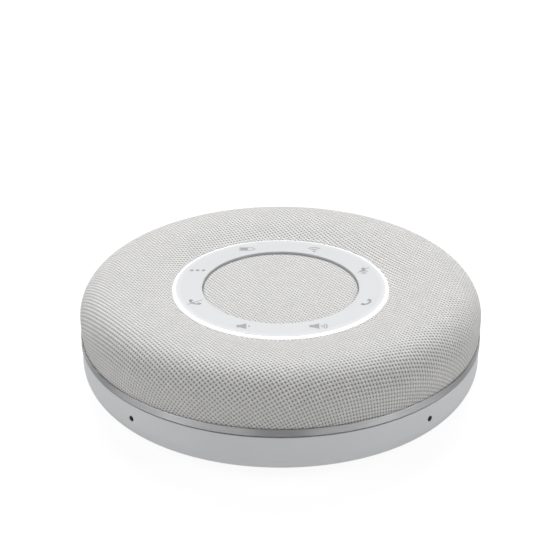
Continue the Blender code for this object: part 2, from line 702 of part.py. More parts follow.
def make_driver():
    """The full-range driver's fixed pieces."""
    gasket = turned("driver_gasket", [
        (0.0217, 0.02265), (0.0262, 0.02265), (0.0262, 0.02215), (0.0217, 0.02215)], rubber(), DRIVER_STEPS)
    basket = turned("driver_basket", [
        (0.0109, 0.0156), (0.0172, 0.0156), (0.0212, FLANGE_BOTTOM), (0.0265, FLANGE_BOTTOM),
        (0.0265, FLANGE_TOP), (0.0209, FLANGE_TOP), (0.0169, 0.0164), (0.0109, 0.0164)],
        material("basket_steel", (0.12, 0.12, 0.13), 0.4, 1.0), DRIVER_STEPS)
    windows = bmesh.new()
    window_count = 6
    for i in range(window_count):
        add_block(windows, (0.0150, -0.0042, 0.0173), (0.0240, 0.0042, 0.0213),
                  math.tau * (i + 0.25) / window_count)
    boolean(basket, cutter_from("basket_windows", windows))
    places = [around(DRIVER_SCREW_CIRCLE, math.pi / 4 + math.pi / 2 * i) for i in range(4)]
    screw_holes = rod_cutter("flange_holes", 0.0009 + GAP, 0.0215, 0.0245, places, 12)
    boolean(basket, screw_holes)
    boolean(gasket, screw_holes)

    dark_iron = material("dark_iron", (0.1, 0.1, 0.105), 0.45, 0.9)
    pole, plate_radius = 0.0086, 0.0170
    turned("driver_yoke", [
        (0.0, 0.0155), (pole, 0.0155), (pole, 0.0106), (plate_radius, 0.0106), (plate_radius, 0.0090),
        (0.0, 0.0090)], dark_iron, DRIVER_STEPS)
    turned("driver_magnet", [
        (0.0108, 0.0136), (0.0165, 0.0136), (0.0165, 0.0109), (0.0108, 0.0109)],
        material("ferrite", (0.04, 0.04, 0.042), 0.6), DRIVER_STEPS)
    turned("driver_top_plate", [
        (0.0099, 0.0153), (plate_radius, 0.0153), (plate_radius, 0.0139), (0.0099, 0.0139)],
        dark_iron, DRIVER_STEPS)


def make_moving_cone():
    """The pieces that travel up and down in the driver, and the two that flex with them."""
    turned("voice_coil", [
        (0.00905, 0.0195), (0.0095, 0.0195), (0.0095, 0.0123), (0.00905, 0.0123)],
        material("copper", (0.7, 0.3, 0.12), 0.35, 1.0), DRIVER_STEPS)
    turned("speaker_cone", [
        (0.0182, 0.0218), (0.0182, 0.0214), (0.0099, 0.0184), (0.0099, 0.0189)],
        material("cone_paper", (0.05, 0.05, 0.05), 0.85), DRIVER_STEPS)
    cap_rim, cap_base, cap_rise, cap_wall, cap_steps = 0.0106, 0.01975, 0.0022, 0.00035, 3
    cap = [(cap_rim * (1 - i / cap_steps), cap_base + cap_wall + cap_rise * (1 - (1 - i / cap_steps) ** 2))
           for i in range(cap_steps + 1)]
    turned("dust_cap", cap + [(r, z - cap_wall) for r, z in cap[::-1]],
           material("cap_plastic", (0.04, 0.04, 0.04), 0.4), DRIVER_STEPS)
    make_sheet_ring("cone_surround", [
        (0.0224, 0.02425), (0.0206, 0.02425), (0.0195, 0.0238), (0.0184, 0.0222), (0.0170, 0.0221)],
        0.0003, rubber(), DRIVER_STEPS)
    spider_steps = 4
    spider = [(0.0179 - 0.0080 * i / spider_steps,
               0.0189 - 0.0019 * i / spider_steps - 0.0002 * (i % 2)) for i in range(spider_steps + 1)]
    make_sheet_ring("spider", spider, 0.00025, material("spider_cloth", (0.45, 0.3, 0.12), 0.9), DRIVER_STEPS)


def make_sheet_ring(name, line, thickness, finish, steps):
    """A turned ring of even upright thickness along a line from its outer to its inner edge."""
    half = thickness / 2
    upper = [(r, z + half) for r, z in line]
    lower = [(r, z - half) for r, z in line]
    return turned(name, upper + lower[::-1], finish, steps)


def make_radiators():
    """Two passive radiators, each a weighted plate on a flexing ring."""
    for side, label in ((-1, "left"), (1, "right")):
        centre = (side * RADIATOR_OFFSET, 0.0, 0.0)
        plate = turned(f"radiator_plate_{label}", [
            (0.0, 0.0197), (0.0085, 0.0197), (0.0090, 0.0193), (0.0090, 0.0184), (0.0, 0.0184)],
            steel(), DRIVER_STEPS)
        ring = make_sheet_ring(f"radiator_surround_{label}", [
            (0.0130, 0.02235), (0.0108, 0.02235), (0.0100, 0.0214), (0.0094, 0.0202),
            (0.0078, 0.0201)], 0.0003, rubber(), DRIVER_STEPS)
        plate.location = centre
        ring.location = centre


def finish_shading():
    for obj in PARTS.objects:
        if obj.type == "MESH":
            shade_round(obj)


make_fabric_cover()
make_grille_frame()
make_centre()
make_touch_ring()
make_trim_ring()
make_base_housing()
make_bottom()
make_screws()
make_main_board()
make_shield_can()
make_socket()
make_power_button()
make_microphones()
make_battery()
make_touch_ribbon()
make_leads()
make_enclosure()
make_driver()
make_moving_cone()
make_radiators()
finish_shading()
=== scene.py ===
"""Looks of the conference speakerphone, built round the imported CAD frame.

Units are metres. The puck stands on the floor at z = 0, +Z is up and -Y faces the user.
"""

import json
import math

import bmesh
import bpy
import numpy as np
from mathutils import Matrix, Vector


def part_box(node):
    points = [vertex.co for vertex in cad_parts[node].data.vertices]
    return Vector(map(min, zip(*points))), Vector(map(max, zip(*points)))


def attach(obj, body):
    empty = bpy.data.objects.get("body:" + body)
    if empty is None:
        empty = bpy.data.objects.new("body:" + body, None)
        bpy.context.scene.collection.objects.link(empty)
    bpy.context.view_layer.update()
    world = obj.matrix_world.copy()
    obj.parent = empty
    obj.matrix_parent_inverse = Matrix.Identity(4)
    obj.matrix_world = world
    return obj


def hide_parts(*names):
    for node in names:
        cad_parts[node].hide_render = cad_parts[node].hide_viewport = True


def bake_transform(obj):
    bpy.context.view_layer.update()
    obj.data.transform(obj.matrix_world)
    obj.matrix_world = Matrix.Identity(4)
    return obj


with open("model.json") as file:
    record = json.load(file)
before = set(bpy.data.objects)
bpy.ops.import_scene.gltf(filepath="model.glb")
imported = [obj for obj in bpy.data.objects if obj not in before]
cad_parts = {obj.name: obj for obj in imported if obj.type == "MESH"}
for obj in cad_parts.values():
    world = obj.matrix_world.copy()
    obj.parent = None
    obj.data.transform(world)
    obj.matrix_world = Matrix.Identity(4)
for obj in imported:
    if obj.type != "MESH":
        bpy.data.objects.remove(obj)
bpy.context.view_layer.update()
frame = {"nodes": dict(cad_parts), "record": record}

# ---------------------------------------------------------------- sizes read from the frame

OUTER_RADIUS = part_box("fabric_cover")[1].x
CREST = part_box("fabric_cover")[1].z
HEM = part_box("fabric_cover")[0].z
RING_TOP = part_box("touch_ring")[1].z
RING_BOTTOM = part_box("touch_ring")[0].z
RING_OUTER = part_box("touch_ring")[1].x
LIGHT_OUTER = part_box("light_ring")[1].x
LIGHT_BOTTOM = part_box("light_ring")[0].z
LIGHT_EDGE = LIGHT_OUTER - 0.0001
DISC_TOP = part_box("fabric_disc")[1].z
DISC_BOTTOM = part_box("fabric_disc")[0].z
TRIM_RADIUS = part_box("trim_ring")[1].x
TRIM_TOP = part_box("trim_ring")[1].z
TRIM_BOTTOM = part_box("trim_ring")[0].z
BASE_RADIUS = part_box("base_housing")[1].x
BASE_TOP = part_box("base_housing")[1].z
BASE_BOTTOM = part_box("base_housing")[0].z
COVER_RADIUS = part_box("bottom_cover")[1].x
FOOT_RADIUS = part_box("foot_ring")[1].x
FOOT_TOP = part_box("foot_ring")[1].z
LABEL_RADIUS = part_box("rating_label")[1].x
SOCKET_LOW, SOCKET_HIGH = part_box("usb_socket")
SOCKET_HEIGHT = (SOCKET_LOW.z + SOCKET_HIGH.z) / 2
BUTTON_LOW, BUTTON_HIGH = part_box("power_button")
BUTTON_HEIGHT = (BUTTON_LOW.z + BUTTON_HIGH.z) / 2

# Sizes that the frame's boxes don't give. They repeat the design's own, except for the skirt's tuck,
# the microphone holes and the gap line, which are this script's.
RING_INNER = 0.0257
RING_SKIRT = 0.0263
CREST_RADIUS = 0.0546
WAIST = 0.0235
DISH_EDGE_RADIUS = 0.0364
DISH_DEPTH = 0.0029
SKIRT_TUCK = 0.0005
SKIRT_TUCK_DROP = 0.0068
FOOT_INNER = 0.0425
MIC_HEIGHT = 0.0089
MIC_RADIUS = 0.00098
SCREW_CIRCLE = 0.0530
CORNER_ANGLES = [math.radians(a) for a in (45, 135, 225, 315)]
BUTTON_DIRECTION = math.pi / 2 - math.radians(22)
GAP_LINE = 0.00025

ROOM_LIGHT = 0.03
FLOOR_GLOW, FLOOR_SHOWN = 0.41, 0.88
LIGHT_AIM = (0, 0, 0.01)
LIGHTS = [  # name, place, width, height, power
    ("back_panel", (0.0, 0.75, 0.75), 1.0, 0.5, 12.0),
    ("left_top_panel", (-0.72, 0.0, 0.78), 0.5, 0.8, 3.3),
    ("right_top_panel", (0.72, 0.0, 0.78), 0.5, 0.8, 3.3),
    ("left_front_panel", (-0.49, -0.62, 0.15), 0.7, 0.2, 0.9),
    ("left_shoulder_panel", (-0.75, -0.35, 0.65), 0.4, 0.4, 0.75),
    ("right_shoulder_panel", (0.75, -0.35, 0.65), 0.4, 0.4, 0.75),
    ("right_front_panel", (0.49, -0.62, 0.15), 0.7, 0.2, 0.9),
]

FINE_STEPS = 288
WARP_PITCH, WARP_ANGLE = 0.001115, math.radians(34.6)
WEFT_PITCH, WEFT_ANGLE = 0.001146, math.radians(113.1)
WEFT_RISE = 0.85
WEAVE_DEPTH = 0.00012


# ---------------------------------------------------------------- node helpers

class Shader:
    """A material under construction: a Principled shader and short ways to add nodes to it."""

    def __init__(self, name, roughness=0.5, metallic=0.0):
        self.material = bpy.data.materials.new(name)
        self.material.use_nodes = True
        self.tree = self.material.node_tree
        self.surface = self.tree.nodes["Principled BSDF"]
        self.surface.inputs["Roughness"].default_value = roughness
        self.surface.inputs["Metallic"].default_value = metallic

    def add(self, kind, **inputs):
        node = self.tree.nodes.new(kind)
        for name, value in inputs.items():
            self.put(node.inputs[name.replace("_", " ")], value)
        return node

    def put(self, socket, value):
        """Link a node's output into a socket, or set the socket's own value."""
        if isinstance(value, bpy.types.NodeSocket):
            self.tree.links.new(value, socket)
        else:
            socket.default_value = value

    def math(self, operation, first, second=0.0, clamp=False):
        node = self.tree.nodes.new("ShaderNodeMath")
        node.operation = operation
        node.use_clamp = clamp
        self.put(node.inputs[0], first)
        self.put(node.inputs[1], second)
        return node.outputs[0]

    def remap(self, value, low, high, to_low, to_high):
        node = self.tree.nodes.new("ShaderNodeMapRange")
        for name, amount in (("Value", value), ("From Min", low), ("From Max", high),
                             ("To Min", to_low), ("To Max", to_high)):
            self.put(node.inputs[name], amount)
        return node.outputs[0]

    def mix(self, factor, first, second):
        node = self.tree.nodes.new("ShaderNodeMix")
        node.data_type = "RGBA"
        for index, value in ((0, factor), (6, first), (7, second)):
            if isinstance(value, tuple):
                value = (*value, 1.0)
            self.put(node.inputs[index], value)
        return node.outputs[2]

    def noise(self, vector, scale, detail=2.0, roughness=0.5):
        node = self.add("ShaderNodeTexNoise", Scale=scale, Detail=detail, Roughness=roughness)
        self.put(node.inputs["Vector"], vector)
        return node.outputs["Fac"]

    def place(self):
        return self.add("ShaderNodeTexCoord").outputs["Object"]

    def from_axis(self, x, y):
        """The distance from the Z axis."""
        squares = self.math("MULTIPLY", x, x), self.math("MULTIPLY", y, y)
        return self.math("SQRT", self.math("ADD", *squares))

    def bump(self, height, distance, strength=1.0):
        node = self.add("ShaderNodeBump", Strength=strength, Distance=distance, Height=height)
        self.put(self.surface.inputs["Normal"], node.outputs["Normal"])

    def set(self, **values):
        for name, value in values.items():
            if isinstance(value, tuple):
                value = (*value, 1.0)
            self.put(self.surface.inputs[name.replace("_", " ")], value)
        return self


def shaded(colour, factor):
    return tuple(min(1.0, c * factor) for c in colour)


# ---------------------------------------------------------------- materials

def woven_cloth(name, thread, gap, wall_gap_shade):
    """A plain weave of melange yarn, laid out on the cloth's own thread coordinates.

    Its gaps carry painted shade: near black on top, for the dark grille holes under it, paler grey on the
    wall, for the frame inside it, and darker again towards the hem.
    """
    s = Shader(name, roughness=0.92)
    cloth = s.add("ShaderNodeAttribute")
    cloth.attribute_name = "cloth"
    split = s.add("ShaderNodeSeparateXYZ", Vector=cloth.outputs["Vector"])
    across = s.math("COSINE", s.math("MULTIPLY", split.outputs[0], math.pi))
    along = s.math("COSINE", s.math("MULTIPLY", split.outputs[1], math.pi))
    turn = s.math("MULTIPLY", s.math("MULTIPLY", across, along), 0.5)
    warp = s.math("MULTIPLY", s.math("ABSOLUTE", across), s.math("ADD", turn, 0.5))
    weft = s.math("MULTIPLY", s.math("ABSOLUTE", along), s.math("SUBTRACT", 0.5, turn))
    weft = s.math("MULTIPLY", weft, WEFT_RISE)
    height = s.math("MAXIMUM", warp, weft)

    warp_yarn = s.add("ShaderNodeCombineXYZ", X=split.outputs[0])
    s.put(warp_yarn.inputs["Y"], s.math("MULTIPLY", split.outputs[1], 0.15))
    weft_yarn = s.add("ShaderNodeCombineXYZ", Y=split.outputs[1], Z=7.0)
    s.put(weft_yarn.inputs["X"], s.math("MULTIPLY", split.outputs[0], 0.15))
    warp_tone = s.noise(warp_yarn.outputs[0], 1.0, 1.0)
    weft_tone = s.noise(weft_yarn.outputs[0], 1.0, 1.0)
    on_top = s.math("GREATER_THAN", warp, weft)
    tone = s.remap(s.mix(on_top, weft_tone, warp_tone), 0.3, 0.7, 0.0, 1.0)
    fibre = s.noise(cloth.outputs["Vector"], 4.0, 3.0, 0.7)
    light = s.mix(tone, shaded(thread, 0.82), shaded(thread, 1.12))
    light = s.mix(s.remap(fibre, 0.38, 0.66, 0.0, 0.8), light, shaded(thread, 0.6))
    stitch = s.noise(cloth.outputs["Vector"], 1.6, 2.0, 0.7)
    light = s.mix(s.remap(stitch, 0.38, 0.62, 0.45, 0.0), light, shaded(thread, 0.55))
    level = s.add("ShaderNodeSeparateXYZ", Vector=s.place()).outputs[2]
    # Painted shade in the weave's gaps: grey on the wall, darker towards the hem, and near black towards
    # the top.
    low_gap_shade = s.mix(s.remap(level, HEM, WAIST, 0.0, 1.0), shaded(wall_gap_shade, 0.35), wall_gap_shade)
    gap_shade = s.mix(s.remap(level, WAIST, CREST - DISH_DEPTH, 0.0, 1.0), low_gap_shade, gap)
    colour = s.mix(s.remap(height, 0.12, 0.42, 0.0, 1.0), gap_shade, light)
    s.set(Base_Color=colour)
    s.surface.inputs["Sheen Weight"].default_value = 0.8
    s.surface.inputs["Sheen Roughness"].default_value = 0.5
    s.surface.inputs["Specular IOR Level"].default_value = 0.2
    s.bump(s.math("ADD", height, s.math("MULTIPLY", fibre, 0.3)), 0.00022, 0.9)
    return s.material


def moulded(name, colour, roughness, grain=2600.0, depth=0.00001, metallic=0.0, tone=0.05):
    """Moulded or painted plastic: a fine even grain with slight changes of tone and gloss."""
    s = Shader(name, roughness, metallic)
    place = s.place()
    broad = s.noise(place, 38.0, 3.0)
    fine = s.noise(place, grain, 2.0)
    s.set(Base_Color=s.mix(s.remap(broad, 0.35, 0.65, 0.0, 1.0),
                           shaded(colour, 1 - tone), shaded(colour, 1 + tone)))
    s.set(Roughness=s.remap(s.math("ADD", broad, fine), 0.7, 1.3, roughness - 0.05, roughness + 0.06))
    s.bump(fine, depth)
    return s.material


def turned_metal(name, colour, roughness, lines=2500.0, depth=0.000004):
    """Metal finished on a lathe: hair lines that run round the Z axis."""
    s = Shader(name, roughness, 1.0)
    split = s.add("ShaderNodeSeparateXYZ", Vector=s.place())
    x, y, z = split.outputs
    radius = s.from_axis(x, y)
    angle = s.math("ARCTAN2", y, x)
    lathe = s.add("ShaderNodeCombineXYZ", X=radius, Z=z)
    s.put(lathe.inputs["Y"], s.math("MULTIPLY", angle, 0.0012))
    hair = s.noise(lathe.outputs[0], lines, 3.0, 0.7)
    s.surface.inputs["Anisotropic"].default_value = 1.0
    s.surface.inputs["Anisotropic Rotation"].default_value = 0.25
    tangent = s.add("ShaderNodeTangent")
    tangent.direction_type, tangent.axis = "RADIAL", "Z"
    s.put(s.surface.inputs["Tangent"], tangent.outputs[0])
    s.set(Base_Color=s.mix(s.remap(hair, 0.3, 0.7, 0.0, 1.0), shaded(colour, 0.88), shaded(colour, 1.12)))
    s.set(Roughness=s.remap(hair, 0.3, 0.7, roughness - 0.05, roughness + 0.08))
    s.bump(hair, depth)
    return s.material


def plain_metal(name, colour, roughness):
    """Plated or pressed metal with small changes of gloss."""
    s = Shader(name, roughness, 1.0)
    place = s.place()
    cloudy = s.noise(place, 300.0, 4.0)
    s.set(Base_Color=s.mix(cloudy, shaded(colour, 0.85), shaded(colour, 1.1)))
    s.set(Roughness=s.remap(cloudy, 0.3, 0.7, roughness - 0.07, roughness + 0.1))
    s.bump(s.noise(place, 1500.0, 2.0), 0.000005)
    return s.material


def soft_rubber(name, colour):
    s = Shader(name, 0.8)
    place = s.place()
    speck = s.noise(place, 1800.0, 3.0, 0.7)
    s.set(Base_Color=s.mix(s.remap(speck, 0.4, 0.7, 0.0, 1.0), shaded(colour, 0.85), shaded(colour, 1.5)))
    s.set(Roughness=s.remap(s.noise(place, 90.0), 0.3, 0.7, 0.72, 0.9))
    s.bump(speck, 0.00002)
    return s.material


def circuit_board(name):
    """Green solder mask over faint copper tracks."""
    s = Shader(name, 0.4)
    place = s.place()
    bricks = s.add("ShaderNodeTexBrick", Scale=260.0, Mortar_Size=0.09)
    s.put(bricks.inputs["Vector"], place)
    tracks = s.math("MULTIPLY", bricks.outputs["Fac"], s.math("GREATER_THAN", s.noise(place, 90.0), 0.5))
    s.set(Base_Color=s.mix(tracks, (0.012, 0.10, 0.045), (0.03, 0.19, 0.08)))
    s.bump(tracks, 0.00002)
    return s.material


def wound_wire(name, colour):
    """Fine turns of enamelled wire, stacked along Z, with painted shade in bands between the turns."""
    s = Shader(name, 0.3, 1.0)
    wave = s.add("ShaderNodeTexWave", Scale=900.0, Distortion=0.4)
    wave.bands_direction = "Z"
    s.put(wave.inputs["Vector"], s.place())
    s.set(Base_Color=s.mix(wave.outputs["Fac"], shaded(colour, 0.5), colour))
    s.bump(wave.outputs["Fac"], 0.00003)
    return s.material


def ring_plastic(name, colour, painted_glow_start, painted_glow_end):
    """Satin white plastic with a painted glow near its rim, standing in for the lit edge's light."""
    s = Shader(name, 0.36)
    place = s.place()
    s.set(Base_Color=s.mix(s.noise(place, 38.0, 3.0), shaded(colour, 0.99), shaded(colour, 1.01)))
    split = s.add("ShaderNodeSeparateXYZ", Vector=place)
    x, y, _ = split.outputs
    radius = s.from_axis(x, y)
    # Painted glow: emission that rises towards the rim, standing in for the lit edge's light spreading
    # into the plastic.
    near = s.remap(radius, painted_glow_start, painted_glow_end, 0.0, 1.0)
    s.set(Emission_Strength=s.math("MULTIPLY", s.math("MULTIPLY", near, near), 0.08))
    s.set(Emission_Color=(1.0, 1.0, 1.0))
    s.set(Roughness=s.remap(s.noise(place, 2600.0), 0.3, 0.7, 0.32, 0.42))
    s.bump(s.noise(place, 3200.0), 0.000002)
    return s.material


def light_guide(name):
    """Milky plastic lit from below, a little uneven where each lamp sits."""
    s = Shader(name, 0.35)
    cloudy = s.noise(s.place(), 60.0, 2.0)
    s.set(Base_Color=s.mix(cloudy, (0.9, 0.9, 0.9), (0.97, 0.97, 0.97)))
    s.set(Emission_Color=s.mix(cloudy, (0.97, 0.98, 1.0), (1.0, 1.0, 1.0)))
    s.surface.inputs["Emission Strength"].default_value = 0.45
    return s.material


THREAD = (0.98, 0.96, 0.94)
MATERIALS = {
    # The cloth's two gap colours are painted shade: near black on top, grey on the wall.
    "fabric": woven_cloth("cover_weave_painted_gap_shade", THREAD, (0.01, 0.01, 0.01), (0.21, 0.206, 0.203)),
    "ring_white": ring_plastic("satin_white_painted_glow", (0.515, 0.524, 0.536), RING_OUTER - 0.0022, RING_OUTER),
    "light_diffuser": light_guide("milky_light_guide"),
    "trim_metal": turned_metal("turned_dark_metal", (0.64, 0.643, 0.652), 0.37),
    "base_paint": moulded("fine_grey_paint", (0.755, 0.768, 0.782), 0.42, 3000.0, 0.000009, tone=0.02),
    "button_grey": moulded("satin_grey", (0.40, 0.41, 0.42), 0.45, 2500.0),
    "black_plastic": moulded("grained_black", (0.035, 0.035, 0.037), 0.55, 1600.0, 0.00002, tone=0.2),
    "frame_plastic": moulded("frame_grey", (0.10, 0.10, 0.105), 0.6, 1500.0, tone=0.1),
    "enclosure_plastic": moulded("enclosure_black", (0.05, 0.05, 0.054), 0.55, 1500.0, tone=0.15),
    "rubber": soft_rubber("matt_rubber", (0.045, 0.045, 0.047)),
    "steel": plain_metal("plated_steel", (0.56, 0.56, 0.57), 0.3),
    "basket_steel": plain_metal("coated_steel", (0.08, 0.08, 0.085), 0.42),
    "dark_iron": plain_metal("dark_plated_iron", (0.11, 0.11, 0.115), 0.42),
    "ferrite": moulded("sintered_ferrite", (0.045, 0.045, 0.047), 0.6, 900.0, tone=0.2),
    "copper": wound_wire("copper_winding", (0.72, 0.3, 0.12)),
    "cone_paper": moulded("pressed_fibre", (0.05, 0.05, 0.05), 0.85, 700.0, 0.00005, tone=0.25),
    "cap_plastic": moulded("satin_black", (0.04, 0.04, 0.04), 0.4, 1500.0, tone=0.1),
    "spider_cloth": moulded("resin_cloth", (0.45, 0.3, 0.12), 0.9, 1200.0, 0.00005, tone=0.2),
    "circuit_board": circuit_board("green_board"),
    "flex_amber": moulded("amber_flex", (0.55, 0.24, 0.04), 0.4, 900.0, tone=0.1),
    "ribbon_white": moulded("ribbon_film", (0.65, 0.65, 0.66), 0.4, 900.0, tone=0.05),
    "cell_sleeve": moulded("shrink_sleeve", (0.05, 0.16, 0.42), 0.3, 400.0, 0.00002, tone=0.1),
    "lead_red": moulded("red_insulation", (0.5, 0.02, 0.02), 0.4, 900.0, tone=0.1),
    "lead_black": moulded("black_insulation", (0.02, 0.02, 0.02), 0.4, 900.0, tone=0.2),
    "label_film": moulded("label_film", (0.42, 0.42, 0.43), 0.45, 600.0, 0.000004, tone=0.05),
}
SYMBOL_INK = moulded("symbol_ink", (0.25, 0.255, 0.26), 0.5, 2500.0, 0.000002, tone=0.05)
# Near black and dark grey, given to the walls of holes, bores and recesses and to the gap under the trim:
# painted shade.
PAINTED_HOLE_SHADE = moulded("painted_hole_shade", (0.012, 0.012, 0.012), 0.8, 1500.0, tone=0.2)
PAINTED_MIC_HOLE_SHADE = moulded("painted_mic_hole_shade", (0.2, 0.203, 0.208), 0.8, 1500.0, tone=0.2)


# ---------------------------------------------------------------- mesh helpers

def mesh_object(name, vertices, faces, material):
    mesh = bpy.data.meshes.new(name)
    mesh.from_pydata(vertices, [], faces)
    mesh.materials.append(material)
    obj = bpy.data.objects.new(name, mesh)
    bpy.context.scene.collection.objects.link(obj)
    return obj


def from_bmesh(name, bm, material):
    mesh = bpy.data.meshes.new(name)
    bm.to_mesh(mesh)
    bm.free()
    mesh.materials.append(material)
    obj = bpy.data.objects.new(name, mesh)
    bpy.context.scene.collection.objects.link(obj)
    return obj


def smooth(obj, angle=30):
    obj.data.shade_smooth()
    obj.data.set_sharp_from_angle(angle=math.radians(angle))


def clockwise(points):
    pairs = zip(points, points[1:] + points[:1])
    area = sum(a[0] * b[1] - b[0] * a[1] for a, b in pairs)
    return points if area < 0 else points[::-1]


def turned(name, outline, material, steps=FINE_STEPS):
    """A closed ring, or a solid where the outline starts and ends on the axis, turned round Z."""
    points = clockwise(outline)
    on_axis = [i for i, p in enumerate(points) if p[0] == 0.0]
    if on_axis:
        start = next(i for i in on_axis if (i - 1) % len(points) in on_axis)
        points = points[start:] + points[:start]
    rings, vertices = [], []
    for radius, height in points:
        if radius == 0.0:
            rings.append([len(vertices)] * steps)
            vertices.append((0.0, 0.0, height))
            continue
        rings.append(list(range(len(vertices), len(vertices) + steps)))
        for i in range(steps):
            angle = math.tau * i / steps
            vertices.append((radius * math.cos(angle), radius * math.sin(angle), height))
    followers = rings[1:] if on_axis else rings[1:] + rings[:1]
    faces = []
    for upper, lower in zip(rings, followers):
        for i in range(steps):
            j = (i + 1) % steps
            corners = [upper[i], lower[i], lower[j], upper[j]]
            faces.append(list(dict.fromkeys(corners)))
    obj = mesh_object(name, vertices, faces, material)
    smooth(obj)
    return obj


def fillet(corner, before, after, radius, steps=4):
    """Points that round an outline's corner, with one more on each side to keep the flats true."""
    c = Vector(corner)
    to_before, to_after = (Vector(before) - c).normalized(), (Vector(after) - c).normalized()
    half = to_before.angle(to_after) / 2
    reach = radius / math.tan(half)
    centre = c + (to_before + to_after).normalized() * (radius / math.sin(half))
    start, end = c + to_before * reach - centre, c + to_after * reach - centre
    sweep = start.angle_signed(end)
    points = []
    for i in range(steps + 1):
        turn = Matrix.Rotation(-sweep * i / steps, 2)
        points.append(tuple(centre + turn @ start))
    hold = 1.2 * reach
    if hold < 0.45 * (Vector(before) - c).length:
        points.insert(0, tuple(c + to_before * hold))
    if hold < 0.45 * (Vector(after) - c).length:
        points.append(tuple(c + to_after * hold))
    return points


def rounded(points, radii, steps=4):
    """An outline with each corner rounded by its own radius; zero keeps the corner."""
    result = []
    for i, (point, radius) in enumerate(zip(points, radii)):
        if radius == 0:
            result.append(point)
        else:
            after = points[(i + 1) % len(points)]
            result += fillet(point, points[i - 1], after, radius, steps)
    return result


def cut(obj, *cutters):
    """Take the cutters out of a piece for good, and remove them."""
    for cutter in cutters:
        modifier = obj.modifiers.new("cut", "BOOLEAN")
        modifier.operation = "DIFFERENCE"
        modifier.solver = "EXACT"
        modifier.material_mode = "TRANSFER"
        modifier.object = cutter
    bpy.context.view_layer.update()
    evaluated = obj.evaluated_get(bpy.context.evaluated_depsgraph_get())
    mesh = bpy.data.meshes.new_from_object(evaluated)
    obj.modifiers.clear()
    obj.data = mesh
    for cutter in cutters:
        bpy.data.objects.remove(cutter)
    smooth(obj)


def radial_rod(name, radius, start, end, angle, height, material, steps=32):
    """A cylinder that points away from the axis."""
    bm = bmesh.new()
    middle = Matrix.Rotation(angle, 4, "Z") @ Matrix.Translation(((start + end) / 2, 0, height))
    bmesh.ops.create_cone(bm, cap_ends=True, segments=steps, radius1=radius, radius2=radius,
                          depth=end - start, matrix=middle @ Matrix.Rotation(math.pi / 2, 4, "Y"))
    return from_bmesh(name, bm, material)


def rounded_bar(name, half_width, half_height, corner, start, end, height, material, steps=8):
    """A bar along Y with a rounded rectangular section."""
    section = []
    for quarter, (sx, sz) in enumerate(((1, 1), (-1, 1), (-1, -1), (1, -1))):
        for i in range(steps + 1):
            angle = math.pi / 2 * (quarter + i / steps)
            section.append((sx * (half_width - corner) + corner * math.cos(angle),
                            sz * (half_height - corner) + corner * math.sin(angle)))
    count = len(section)
    vertices = [(x, y, height + z) for y in (start, end) for x, z in section]
    faces = [list(range(count)), list(range(2 * count - 1, count - 1, -1))]
    for i in range(count):
        j = (i + 1) % count
        faces.append([i, i + count, j + count, j])
    return mesh_object(name, vertices, faces, material)


def stand_for(obj, node, body="chassis"):
    """A detailed piece takes a CAD node's place and its body."""
    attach(obj, body)
    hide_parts(node)
    return obj


# ---------------------------------------------------------------- cloth

def dome_point(t):
    """The dome's outer curve: 0 at the dish's inner edge, 1 on the crest, 2 at the waist, 3 at the hem."""
    if t <= 1.0:
        radius = DISH_EDGE_RADIUS + (CREST_RADIUS - DISH_EDGE_RADIUS) * t
        return radius, CREST - DISH_DEPTH * (1.0 - t) ** 2
    if t <= 2.0:
        angle = math.pi / 2 * (2.0 - t)
        radius = CREST_RADIUS + (OUTER_RADIUS - CREST_RADIUS) * math.cos(angle)
        return radius, WAIST + (CREST - WAIST) * math.sin(angle)
    height = WAIST + (HEM - WAIST) * (t - 2.0)
    return OUTER_RADIUS - SKIRT_TUCK * ((WAIST - height) / SKIRT_TUCK_DROP) ** 2, height


def cover_profile():
    """The dome's curve with the turned-in hem at its inner edge, as finely spaced points."""
    leg = LIGHT_EDGE + 0.00006
    points = [(leg, LIGHT_BOTTOM), (leg, RING_TOP - 0.0009)]
    roll, roll_steps = 0.00075, 8
    for i in range(1, roll_steps):
        angle = math.pi / 2 * i / roll_steps
        points.append((leg + roll * (1 - math.cos(angle)), RING_TOP - 0.0009 + roll * math.sin(angle)))
    samples = 400
    points += [dome_point(0.02 + 2.98 * i / samples) for i in range(samples + 1)]
    return np.array(points)


def disc_profile():
    """A flat disc of cloth with a rolled edge, from its centre out and down; it fills the ring's bore."""
    edge, rim, top = 0.0004, RING_INNER - 0.00006, DISC_TOP + 0.00015
    points = [(0.0, top), (rim - edge, top)]
    for i in range(1, 9):
        angle = math.pi / 2 * i / 8
        points.append((rim - edge + edge * math.sin(angle), top - edge + edge * math.cos(angle)))
    points.append((rim, DISC_BOTTOM))
    return np.array(points)


